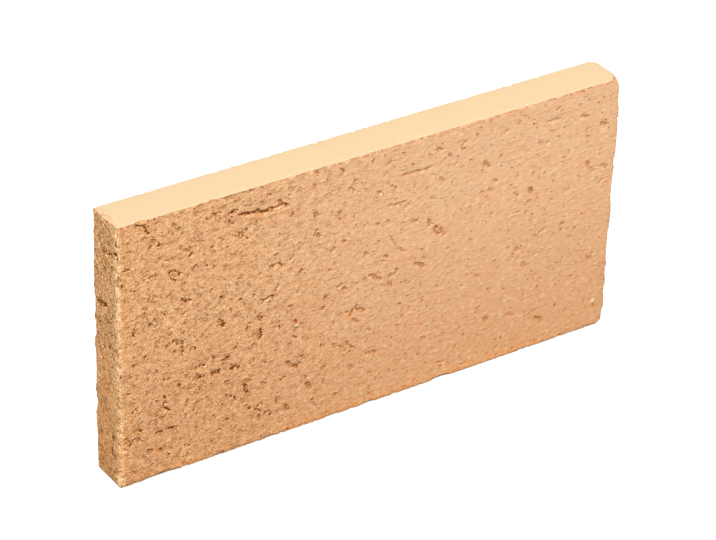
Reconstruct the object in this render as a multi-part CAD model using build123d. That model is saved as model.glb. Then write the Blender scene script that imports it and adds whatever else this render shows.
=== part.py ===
from build123d import *
import math
import os

# Thin clay brick, standing on one long edge as it is shown.
# X runs along the length, Y through the thickness and Z up. The front large
# face looks towards -Y. The origin is the centre of the edge it stands on.

# Overall size in millimetres
LENGTH = 250.0
HEIGHT = 124.0
THICKNESS = 20.0

# Rounding of the outline, seen on the large face
TOP_LEFT_RADIUS = 1.6
TOP_RIGHT_RADIUS = 2.6
BOTTOM_LEFT_RADIUS = 2.0
BOTTOM_RIGHT_RADIUS = 3.0

# Rounding of the arrises round both large faces
ARRIS_RADIUS = 0.9

# Worn corners: which side in X, Y and Z, how far the wear reaches from the
# sharp corner along each edge, and the radius of the ball it is worn to
WORN_CORNERS = [
    ((1, -1, 1), (7.0, 9.0, 8.5), 18.0),
    ((1, 1, 1), (3.5, 8.5, 4.0), 24.0),
    ((1, -1, -1), (5.0, 5.0, 6.5), 12.0),
    ((1, 1, -1), (3.5, 3.5, 4.0), 8.0),
    ((-1, -1, 1), (2.6, 3.2, 3.0), 6.0),
    ((-1, -1, -1), (3.6, 3.2, 3.0), 7.0),
]

# Chips out of the front arrises: distance along the arris, length and depth
BOTTOM_CHIPS = [(20.0, 24.0, 1.1), (74.0, 6.0, 1.0), (123.5, 7.0, 1.2), (161.0, 13.0, 1.5)]
TOP_CHIPS = [(12.0, 8.0, 1.0), (44.0, 4.0, 0.9)]
RIGHT_CHIPS = [(46.0, 10.0, 1.2), (82.0, 7.0, 1.0)]
LEFT_CHIPS = [(20.0, 6.0, 1.0), (61.0, 9.0, 0.9), (97.0, 7.0, 0.9), (109.5, 4.0, 0.9)]

# Chips out of the back arris of the left end, given in the same way
LEFT_BACK_CHIPS = [(83.0, 5.0, 1.1), (104.0, 4.0, 1.0), (116.5, 5.0, 1.1), (49.0, 5.0, 1.0), (14.0, 6.0, 1.0)]

# Tears in the front face, measured from the left end and from the bottom:
# centre along and up, length, width, depth, and slope down to the right
FRONT_TEARS = [
    (64.0, 112.6, 17.0, 1.0, 0.5, 5.0),
    (74.6, 111.4, 13.0, 1.9, 1.4, 2.0),
    (54.0, 115.4, 5.0, 1.0, 0.6, -4.0),
    (12.2, 120.4, 5.4, 2.2, 1.3, 42.0),
    (17.0, 114.4, 10.5, 1.2, 0.7, 52.0),
    (27.2, 95.5, 5.0, 1.8, 1.1, 44.0),
    (25.6, 94.2, 5.6, 1.4, 0.8, 64.0),
    (32.2, 81.1, 5.0, 1.4, 0.9, 23.0),
    (75.3, 83.9, 6.0, 1.2, 0.8, 17.0),
    (48.9, 65.0, 4.8, 1.8, 0.7, 54.0),
    (67.6, 53.4, 6.0, 1.1, 0.6, 84.0),
    (38.8, 47.0, 5.2, 1.4, 0.8, -1.0),
    (43.2, 42.0, 10.5, 1.8, 0.5, 0.0),
    (55.4, 41.2, 5.0, 1.4, 0.8, 6.0),
    (51.0, 47.2, 5.0, 1.0, 0.5, -17.0),
    (22.2, 34.8, 8.0, 1.1, 0.6, 74.0),
    (60.9, 29.0, 5.2, 1.5, 0.9, 73.0),
    (54.9, 26.3, 5.2, 1.0, 0.6, 55.0),
    (22.8, 21.9, 11.0, 0.9, 0.4, 1.0),
    (143.8, 108.3, 16.0, 1.1, 0.5, 0.0),
    (134.2, 95.5, 9.5, 1.0, 0.4, 3.0),
    (135.1, 75.8, 12.8, 1.0, 0.4, 50.0),
    (151.2, 81.0, 4.8, 1.9, 1.0, 62.0),
    (155.2, 76.4, 5.4, 1.6, 0.9, 68.0),
    (158.3, 75.0, 5.0, 1.4, 0.8, 58.0),
    (124.2, 63.2, 7.4, 1.2, 0.7, 32.0),
    (147.0, 62.1, 5.4, 1.7, 0.7, 27.0),
    (114.0, 49.8, 5.2, 1.6, 0.9, -38.0),
    (117.0, 49.2, 5.0, 1.6, 0.9, 32.0),
    (83.4, 33.3, 6.8, 1.6, 0.8, 34.0),
    (112.6, 33.4, 7.0, 1.1, 0.5, 49.0),
    (108.6, 33.0, 5.0, 1.0, 0.4, 47.0),
    (123.3, 26.0, 5.4, 1.4, 0.6, 10.0),
    (214.0, 112.8, 7.0, 1.1, 0.4, 4.0),
    (212.0, 13.9, 6.4, 1.9, 0.8, 24.0),
]

# Holes in the front face that dropped grains left, given in the same way
FRONT_GRAIN_HOLES = [
    (76.6, 113.0, 2.8, 1.1, 0.7, 55.0),
    (18.2, 112.3, 3.6, 1.4, 0.9, 54.0),
    (32.2, 103.7, 2.6, 1.3, 0.8, 34.0),
    (44.9, 116.6, 2.3, 1.3, 0.7, 20.0),
    (48.0, 104.5, 2.5, 1.2, 0.6, 34.0),
    (57.6, 103.5, 2.6, 1.5, 0.8, 65.0),
    (59.7, 105.3, 2.0, 1.3, 0.8, -32.0),
    (44.6, 101.9, 2.0, 1.1, 0.6, 10.0),
    (13.5, 82.6, 2.4, 1.1, 0.6, 52.0),
    (31.4, 74.8, 2.3, 1.3, 0.7, -34.0),
    (21.5, 77.3, 1.9, 1.2, 0.6, 56.0),
    (8.6, 72.7, 1.8, 1.2, 0.6, 27.0),
    (70.8, 69.3, 3.8, 1.9, 1.2, -18.0),
    (71.8, 67.3, 2.0, 1.1, 0.5, 39.0),
    (27.4, 62.9, 3.2, 1.4, 0.8, 40.0),
    (30.4, 61.4, 3.0, 1.3, 0.8, 53.0),
    (67.2, 61.8, 2.4, 1.5, 0.8, 34.0),
    (35.2, 57.1, 2.5, 1.3, 0.7, 25.0),
    (30.3, 57.7, 3.8, 1.0, 0.5, 85.0),
    (22.7, 46.0, 2.5, 1.3, 0.6, 36.0),
    (5.0, 45.0, 2.0, 1.3, 0.8, 22.0),
    (27.8, 43.2, 3.4, 1.1, 0.5, 59.0),
    (7.9, 36.0, 2.8, 1.3, 0.7, -36.0),
    (61.9, 19.4, 3.0, 1.3, 0.7, 45.0),
    (67.7, 18.5, 2.6, 1.3, 0.7, -18.0),
    (71.9, 13.2, 3.2, 1.3, 0.6, 35.0),
    (81.0, 12.5, 3.6, 1.5, 0.7, 59.0),
    (52.0, 16.3, 2.1, 1.1, 0.5, 42.0),
    (32.6, 10.4, 2.4, 1.1, 0.5, 31.0),
    (4.6, 22.2, 4.4, 1.7, 1.1, 53.0),
    (9.0, 21.8, 3.2, 1.4, 0.8, 9.0),
    (93.8, 120.6, 1.8, 1.2, 0.6, 24.0),
    (93.9, 102.2, 2.9, 1.3, 0.7, 40.0),
    (111.2, 108.7, 3.3, 1.4, 0.8, 42.0),
    (124.6, 103.4, 1.9, 1.4, 0.7, 32.0),
    (132.0, 103.7, 3.0, 1.3, 0.7, 55.0),
    (156.3, 100.7, 2.5, 1.3, 0.7, 51.0),
    (154.6, 115.4, 2.4, 1.4, 0.7, 28.0),
    (94.6, 93.0, 3.8, 1.3, 0.7, 70.0),
    (105.6, 98.2, 3.8, 1.1, 0.5, 89.0),
    (102.8, 83.2, 2.6, 1.3, 0.6, -27.0),
    (125.1, 88.5, 2.2, 1.3, 0.6, 45.0),
    (143.5, 84.4, 3.0, 1.5, 0.7, 14.0),
    (119.2, 75.7, 1.8, 1.4, 0.7, 32.0),
    (128.6, 71.3, 2.2, 1.4, 0.7, 45.0),
    (108.8, 62.2, 1.9, 1.4, 0.7, 37.0),
    (132.8, 61.2, 3.4, 1.5, 0.7, -11.0),
    (98.3, 56.2, 1.7, 1.3, 0.6, 33.0),
    (131.8, 56.6, 2.8, 1.3, 0.7, 63.0),
    (140.5, 55.5, 3.0, 1.1, 0.5, 37.0),
    (84.8, 52.4, 4.0, 1.1, 0.5, 75.0),
    (114.9, 44.4, 3.6, 1.1, 0.5, 38.0),
    (89.7, 44.2, 3.0, 1.2, 0.5, 28.0),
    (88.6, 35.3, 2.2, 1.3, 0.6, 58.0),
    (113.0, 21.8, 2.2, 1.4, 0.7, 48.0),
    (91.9, 19.9, 3.4, 1.6, 0.8, 51.0),
    (150.6, 24.2, 2.2, 1.1, 0.5, 65.0),
    (166.7, 114.4, 2.8, 1.3, 0.6, -35.0),
    (195.8, 116.7, 1.8, 1.3, 0.6, 37.0),
    (231.0, 110.0, 3.8, 1.5, 0.6, 20.0),
    (241.0, 103.2, 3.2, 1.6, 0.7, 37.0),
    (179.1, 101.1, 3.8, 1.9, 1.1, 50.0),
    (207.9, 103.4, 2.8, 1.3, 0.5, 36.0),
    (184.3, 92.0, 1.8, 1.3, 0.6, 53.0),
    (182.5, 87.8, 2.8, 1.4, 0.5, 14.0),
    (203.7, 81.6, 2.4, 1.6, 0.8, 73.0),
    (203.2, 75.6, 1.8, 1.4, 0.6, 58.0),
    (233.8, 86.4, 2.6, 2.0, 0.7, 51.0),
    (236.4, 82.4, 3.6, 1.5, 0.5, 51.0),
    (242.4, 82.2, 3.4, 1.6, 0.5, 31.0),
    (222.5, 59.3, 2.0, 1.4, 0.6, 31.0),
    (198.5, 54.0, 2.1, 1.4, 0.6, 39.0),
    (202.5, 44.8, 2.6, 1.4, 0.6, 41.0),
    (238.8, 37.0, 2.2, 1.4, 0.6, 34.0),
    (183.5, 22.8, 2.0, 1.6, 0.7, 49.0),
    (196.0, 21.5, 2.8, 1.4, 0.5, 22.0),
    (209.5, 19.0, 2.1, 1.4, 0.5, 31.0),
]

# Tears and grain holes in the left end, measured from its back arris and from
# the bottom
LEFT_END_TEARS = [
    (6.8, 83.2, 7.0, 2.3, 1.2, -17.0),
    (6.6, 103.4, 7.6, 1.2, 0.7, -5.0),
    (14.6, 108.9, 6.0, 1.3, 0.8, -32.0),
]
LEFT_END_GRAIN_HOLES = [
    (4.8, 86.2, 2.8, 1.2, 0.6, -25.0),
    (9.8, 109.4, 1.8, 1.3, 0.7, -40.0),
    (16.6, 104.6, 3.2, 1.3, 0.7, -18.0),
    (8.9, 95.9, 2.2, 1.1, 0.5, -30.0),
    (16.4, 72.3, 2.2, 1.2, 0.6, -50.0),
    (12.6, 65.2, 2.4, 1.1, 0.5, -45.0),
    (6.4, 58.3, 2.0, 1.1, 0.5, -20.0),
    (14.3, 22.0, 3.0, 1.6, 0.6, -10.0),
    (8.2, 10.2, 2.2, 1.2, 0.6, -28.0),
    (15.6, 14.9, 2.6, 1.1, 0.5, -30.0),
]

# How far the cutting shapes run on past the surface, as a share of their depth
RUN_OUT = 1.5
FLARE = 1.25
CONE_BASE = (Align.CENTER, Align.CENTER, Align.MIN)
WEDGE_BASE = (Align.CENTER, Align.MIN, Align.CENTER)

# Flat faces that carry the marks, each with its own origin and directions
FRONT = Plane((-LENGTH / 2, -THICKNESS / 2, 0), x_dir=(1, 0, 0), z_dir=(0, -1, 0))
LEFT_END = Plane((-LENGTH / 2, THICKNESS / 2, 0), x_dir=(0, -1, 0), z_dir=(-1, 0, 0))


def bite_radius(span, depth):
    """Radius of the circle that is span wide where it sinks depth below a line."""
    return span ** 2 / (8 * depth) + depth / 2


def rounded_slab():
    """The plain brick: a rounded outline through the thickness, arrises eased."""
    outline = Plane.XZ * Pos(0, HEIGHT / 2) * Rectangle(LENGTH, HEIGHT)
    slab = extrude(outline, THICKNESS / 2, both=True)
    for x_side, z_side, radius in [
        (-1, 1, TOP_LEFT_RADIUS),
        (1, 1, TOP_RIGHT_RADIUS),
        (-1, -1, BOTTOM_LEFT_RADIUS),
        (1, -1, BOTTOM_RIGHT_RADIUS),
    ]:
        upright = slab.edges().filter_by(Axis.Y)
        corner = Vector(x_side * LENGTH / 2, 0, HEIGHT / 2 + z_side * HEIGHT / 2)
        slab = fillet(upright.sort_by_distance(corner)[0], radius)
    rims = slab.edges().group_by(Axis.Y)
    return fillet(rims[0] + rims[-1], ARRIS_RADIUS)


def worn_off(side, reach, ball_radius):
    """What a worn corner has lost: the block of the corner outside a ball.

    The ball passes through the three points where the wear ends on the edges.
    """
    spread = sum(1 / r ** 2 for r in reach)
    quarter = sum(r ** 2 for r in reach) / 4
    pull = (math.sqrt(1 - 4 * spread * (quarter - ball_radius ** 2)) - 1) / (2 * spread)
    inset = [r / 2 + pull / r for r in reach]
    corner = (side[0] * LENGTH / 2, side[1] * THICKNESS / 2, HEIGHT / 2 + side[2] * HEIGHT / 2)
    centre = [c - s * i for c, s, i in zip(corner, side, inset)]
    block = Pos(*corner) * Box(*[2.2 * r for r in reach])
    return block - Pos(*centre) * Sphere(ball_radius)


def arris_chip(point, outward, length, depth):
    """A shallow bite out of an arris, as the side of a ball would take it."""
    radius = bite_radius(length, depth)
    centre = Vector(*point) + Vector(*outward).normalized() * (radius - depth)
    return Pos(centre) * Sphere(radius)


def tear(face, along, up, length, width, depth, slope):
    """A boat-shaped groove, as the sharp rim of a thin wheel would cut it."""
    rim = bite_radius(length, depth)
    half = Cone(rim, rim - RUN_OUT * depth, RUN_OUT * width / 2, align=CONE_BASE)
    wheel = half + mirror(half, about=Plane.XY)
    return face * Pos(along, up, rim - depth) * Rot(0, 0, -slope) * Rot(90, 0, 0) * wheel


def grain_hole(face, along, up, length, width, depth, slope):
    """The hole of an angular grain: steep at one end, sloping at the other."""
    wide, long, deep = FLARE * width, FLARE * length, FLARE * depth
    floor = (0.3 * long, 0.35 * wide, 0.75 * long, 0.6 * wide)
    hole = Rot(-90, 0, 0) * Wedge(long, deep, wide, *floor, align=WEDGE_BASE)
    return face * Pos(along, up, deep - depth) * Rot(0, 0, -slope) * hole


def arris_chips():
    """Chips on the four arrises of the front face and on one of the back."""
    left, right, front, back = -LENGTH / 2, LENGTH / 2, -THICKNESS / 2, THICKNESS / 2
    chips = [arris_chip((left + s, front, 0), (0, -1, -1), n, d) for s, n, d in BOTTOM_CHIPS]
    chips += [arris_chip((left + s, front, HEIGHT), (0, -1, 1), n, d) for s, n, d in TOP_CHIPS]
    chips += [arris_chip((right, front, s), (1, -1, 0), n, d) for s, n, d in RIGHT_CHIPS]
    chips += [arris_chip((left, front, s), (-1, -1, 0), n, d) for s, n, d in LEFT_CHIPS]
    chips += [arris_chip((left, back, s), (-1, 1, 0), n, d) for s, n, d in LEFT_BACK_CHIPS]
    return chips


def clay_brick():
    """The whole brick with its worn corners, chips, tears and grain holes."""
    brick = rounded_slab()
    for side, reach, ball_radius in WORN_CORNERS:
        brick -= worn_off(side, reach, ball_radius)
    for chip in arris_chips():
        brick -= chip
    marks = [tear(FRONT, *mark) for mark in FRONT_TEARS]
    marks += [grain_hole(FRONT, *mark) for mark in FRONT_GRAIN_HOLES]
    marks += [tear(LEFT_END, *mark) for mark in LEFT_END_TEARS]
    marks += [grain_hole(LEFT_END, *mark) for mark in LEFT_END_GRAIN_HOLES]
    return brick - marks


brick = clay_brick()
brick.label = "clay_brick"

os.makedirs("parts", exist_ok=True)
export_step(brick, "parts/clay_brick.step")

box = brick.bounding_box()
print(f"clay_brick: {box.size.X:.2f} x {box.size.Y:.2f} x {box.size.Z:.2f} mm")
print(f"solids {len(brick.solids())}, volume {brick.volume / 1000:.1f} cm3, faces {len(brick.faces())}")
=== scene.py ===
# %% [markdown]
# # A thin clay brick
# The real piece is one slab of fired clay. It was wire-cut on both large faces, which tore the
# grains and left pits, it slid through a smooth die on its two long edges, and its ends were
# cut across, which left them sandy. The solid of the brick comes packed, at its real size. Here
# it gets its skin: the torn surface as real geometry, and the colours of the fired clay.

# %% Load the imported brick
import math

import bmesh
import bpy
from mathutils import Matrix, Vector


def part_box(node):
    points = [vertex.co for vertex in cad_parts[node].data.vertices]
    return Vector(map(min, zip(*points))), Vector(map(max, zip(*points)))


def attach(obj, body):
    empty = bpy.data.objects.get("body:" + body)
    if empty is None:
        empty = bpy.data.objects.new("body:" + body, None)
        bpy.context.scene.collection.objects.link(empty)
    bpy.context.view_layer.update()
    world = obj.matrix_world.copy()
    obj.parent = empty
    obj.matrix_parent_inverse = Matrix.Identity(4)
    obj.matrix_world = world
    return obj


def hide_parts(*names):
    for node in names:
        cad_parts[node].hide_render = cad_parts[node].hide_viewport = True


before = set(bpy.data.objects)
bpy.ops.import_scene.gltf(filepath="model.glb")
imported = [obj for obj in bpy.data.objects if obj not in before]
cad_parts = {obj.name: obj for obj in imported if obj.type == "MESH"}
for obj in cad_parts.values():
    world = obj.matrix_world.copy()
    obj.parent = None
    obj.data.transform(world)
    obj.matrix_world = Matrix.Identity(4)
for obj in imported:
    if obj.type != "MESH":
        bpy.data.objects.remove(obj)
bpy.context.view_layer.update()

MM = 0.001
low, high = [Vector(corner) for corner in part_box("clay_brick")]
length, thickness, height = high - low
print("brick", [round(side / MM, 2) for side in (length, thickness, height)], "mm")

# %% [markdown]
# ## The camera
# A photograph of a box fixes its camera: the slopes of the long edges give the turn and the
# tilt, and how fast they close gives the distance. A long lens far away keeps the edges almost
# parallel, so the focal length is set first, then the place, then the three angles.

# %% Camera
IMAGE_WIDTH = 716
FOCAL_PIXELS = 3020.0
SENSOR_WIDTH = 36.0
CAMERA_PLACE = Vector((-0.6229, -0.8938, 0.7179))
CAMERA_TURN = math.radians(34.74)
CAMERA_DIP = math.radians(31.08)
CAMERA_ROLL = math.radians(1.863)


def camera_directions(turn, dip, roll):
    """Right, up and forward of a camera that is turned, dipped and rolled."""
    forward = Vector((math.sin(turn) * math.cos(dip), math.cos(turn) * math.cos(dip), -math.sin(dip)))
    level = forward.cross(Vector((0, 0, 1))).normalized()
    upright = level.cross(forward)
    right = math.cos(roll) * level + math.sin(roll) * upright
    up = math.cos(roll) * upright - math.sin(roll) * level
    return right, up, forward


def make_camera():
    """The camera of the photograph's viewing angle."""
    data = bpy.data.cameras.new("view")
    data.sensor_width = SENSOR_WIDTH
    data.lens = FOCAL_PIXELS / IMAGE_WIDTH * SENSOR_WIDTH
    camera = bpy.data.objects.new("view", data)
    right, up, forward = camera_directions(CAMERA_TURN, CAMERA_DIP, CAMERA_ROLL)
    turned = Matrix((right, up, -forward)).transposed().to_4x4()
    camera.matrix_world = Matrix.Translation(CAMERA_PLACE) @ turned
    bpy.context.scene.collection.objects.link(camera)
    bpy.context.scene.camera = camera
    return camera


print("lens", round(make_camera().data.lens, 1), "mm")

# %% [markdown]
# ## Writing nodes as expressions
# The relief and the colours are both made of nodes. A small class wraps one output of a node, so
# that ordinary Python arithmetic on it adds Math nodes, and one method adds any other node from
# its type, its settings and its inputs. The same two classes serve Geometry Nodes and shaders.

# %% Node helpers
# how far apart the parts of a texture are that two seeds read, in millimetres
SEED_STEP = (71.3, -43.1, 57.7)


class Wire:
    """One output of a node. Arithmetic on it adds Math nodes to its tree."""

    def __init__(self, graph, socket):
        self.graph = graph
        self.socket = socket

    def __add__(self, other):
        return self.graph.math("ADD", self, other)

    def __radd__(self, other):
        return self.graph.math("ADD", other, self)

    def __sub__(self, other):
        return self.graph.math("SUBTRACT", self, other)

    def __rsub__(self, other):
        return self.graph.math("SUBTRACT", other, self)

    def __mul__(self, other):
        return self.graph.math("MULTIPLY", self, other)

    def __rmul__(self, other):
        return self.graph.math("MULTIPLY", other, self)

    def __truediv__(self, other):
        return self.graph.math("DIVIDE", self, other)

    def out(self, name):
        """Another output of the same node."""
        return Wire(self.graph, self.socket.node.outputs[name])


class Graph:
    """A node tree that is written in Python."""

    def __init__(self, tree):
        self.tree = tree

    def add(self, kind, settings=None, inputs=None, out=0):
        """Adds a node: its settings first, then the values or links of its inputs."""
        node = self.tree.nodes.new(kind)
        for name, value in (settings or {}).items():
            setattr(node, name, value)
        for key, value in (inputs or {}).items():
            self.feed(node.inputs[key], value)
        return Wire(self, node.outputs[out]) if node.outputs else node

    def feed(self, socket, value):
        """Links a wire to an input, or sets the input's own value."""
        if isinstance(value, Wire):
            self.tree.links.new(value.socket, socket)
        else:
            socket.default_value = value

    def math(self, operation, first, second=0.0):
        """A Math node."""
        return self.add("ShaderNodeMath", {"operation": operation}, {0: first, 1: second})

    def most(self, first, *others):
        """The largest of several values."""
        for other in others:
            first = self.math("MAXIMUM", first, other)
        return first

    def ramp(self, value, start, end, low_out=0.0, high_out=1.0):
        """A soft step: low_out before start, high_out after end."""
        steps = {"Value": value, "From Min": start, "From Max": end, "To Min": low_out, "To Max": high_out}
        return self.add("ShaderNodeMapRange", {"interpolation_type": "SMOOTHSTEP"}, steps)

    def vector(self, operation, first, second, out=0):
        """Vector Math on two vectors, or on a vector and a number for SCALE."""
        slot = "Scale" if operation == "SCALE" else 1
        return self.add("ShaderNodeVectorMath", {"operation": operation}, {0: first, slot: second}, out)

    def shifted(self, place, seed):
        """A place moved far off, so that each seed reads another part of a texture."""
        return self.vector("ADD", place, tuple(seed * step for step in SEED_STEP))

    def noise(self, place, size, seed, detail=2.0, roughness=0.5, out="Fac"):
        """Cloudy noise whose lumps are about size millimetres across."""
        inputs = {"Vector": self.shifted(place, seed), "Scale": 1.0 / size, "Detail": detail}
        return self.add("ShaderNodeTexNoise", None, {**inputs, "Roughness": roughness}, out)

    def sway(self, place, size, seed, reach, detail=2.0):
        """A place moved by noise, by up to about reach millimetres."""
        push = self.noise(place, size, seed, detail, 0.6, "Color")
        push = self.vector("SUBTRACT", push, (0.5, 0.5, 0.5))
        return self.vector("ADD", place, self.vector("SCALE", push, 2.0 * reach))

    def split(self, vector):
        """The X, Y and Z of a vector."""
        parts = self.add("ShaderNodeSeparateXYZ", None, {"Vector": vector})
        return parts, parts.out("Y"), parts.out("Z")


def blank_mesh_object(name, mesh):
    """An object at the origin that holds a mesh."""
    piece = bpy.data.objects.new(name, mesh)
    bpy.context.scene.collection.objects.link(piece)
    return piece


def bake_modifiers(piece, name):
    """The evaluated shape of a piece as a plain mesh, with its modifiers removed."""
    evaluated = piece.evaluated_get(bpy.context.evaluated_depsgraph_get())
    mesh = bpy.data.meshes.new_from_object(evaluated)
    piece.modifiers.clear()
    piece.data = mesh
    mesh.name = name


print("node helpers ready")

# %% [markdown]
# ## A skin that is dense enough to carve
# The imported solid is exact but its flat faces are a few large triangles, and a pit needs points
# to sink. It could be subdivided, but its triangles are long and thin, so a voxel remesh is
# better: it lays an even net of squares over the same form, worn corners and chips included.

# %% Dense skin
VOXEL = 0.38 * MM


def dense_copy(node):
    """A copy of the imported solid, merged and laid out as an even net."""
    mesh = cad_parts[node].data.copy()
    form = bmesh.new()
    form.from_mesh(mesh)
    bmesh.ops.remove_doubles(form, verts=form.verts, dist=0.001 * MM)
    form.to_mesh(mesh)
    form.free()
    mesh.materials.clear()
    piece = blank_mesh_object("brick", mesh)
    net = piece.modifiers.new("net", "REMESH")
    net.mode = "VOXEL"
    net.voxel_size = VOXEL
    bake_modifiers(piece, "brick")
    return piece


brick = dense_copy("clay_brick")
print("dense skin", len(brick.data.polygons), "faces")

# %% [markdown]
# ## Marks that are known one by one
# The larger tears are where the wire pulled a grain along. They are drawn as short strokes, in
# millimetres from the left end and from the bottom on the front face, and from the back and from
# the bottom on the left end, with the half width and depth of the furrow that each one leaves.
# Geometry Nodes then carve along them, and the colours darken them.

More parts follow.
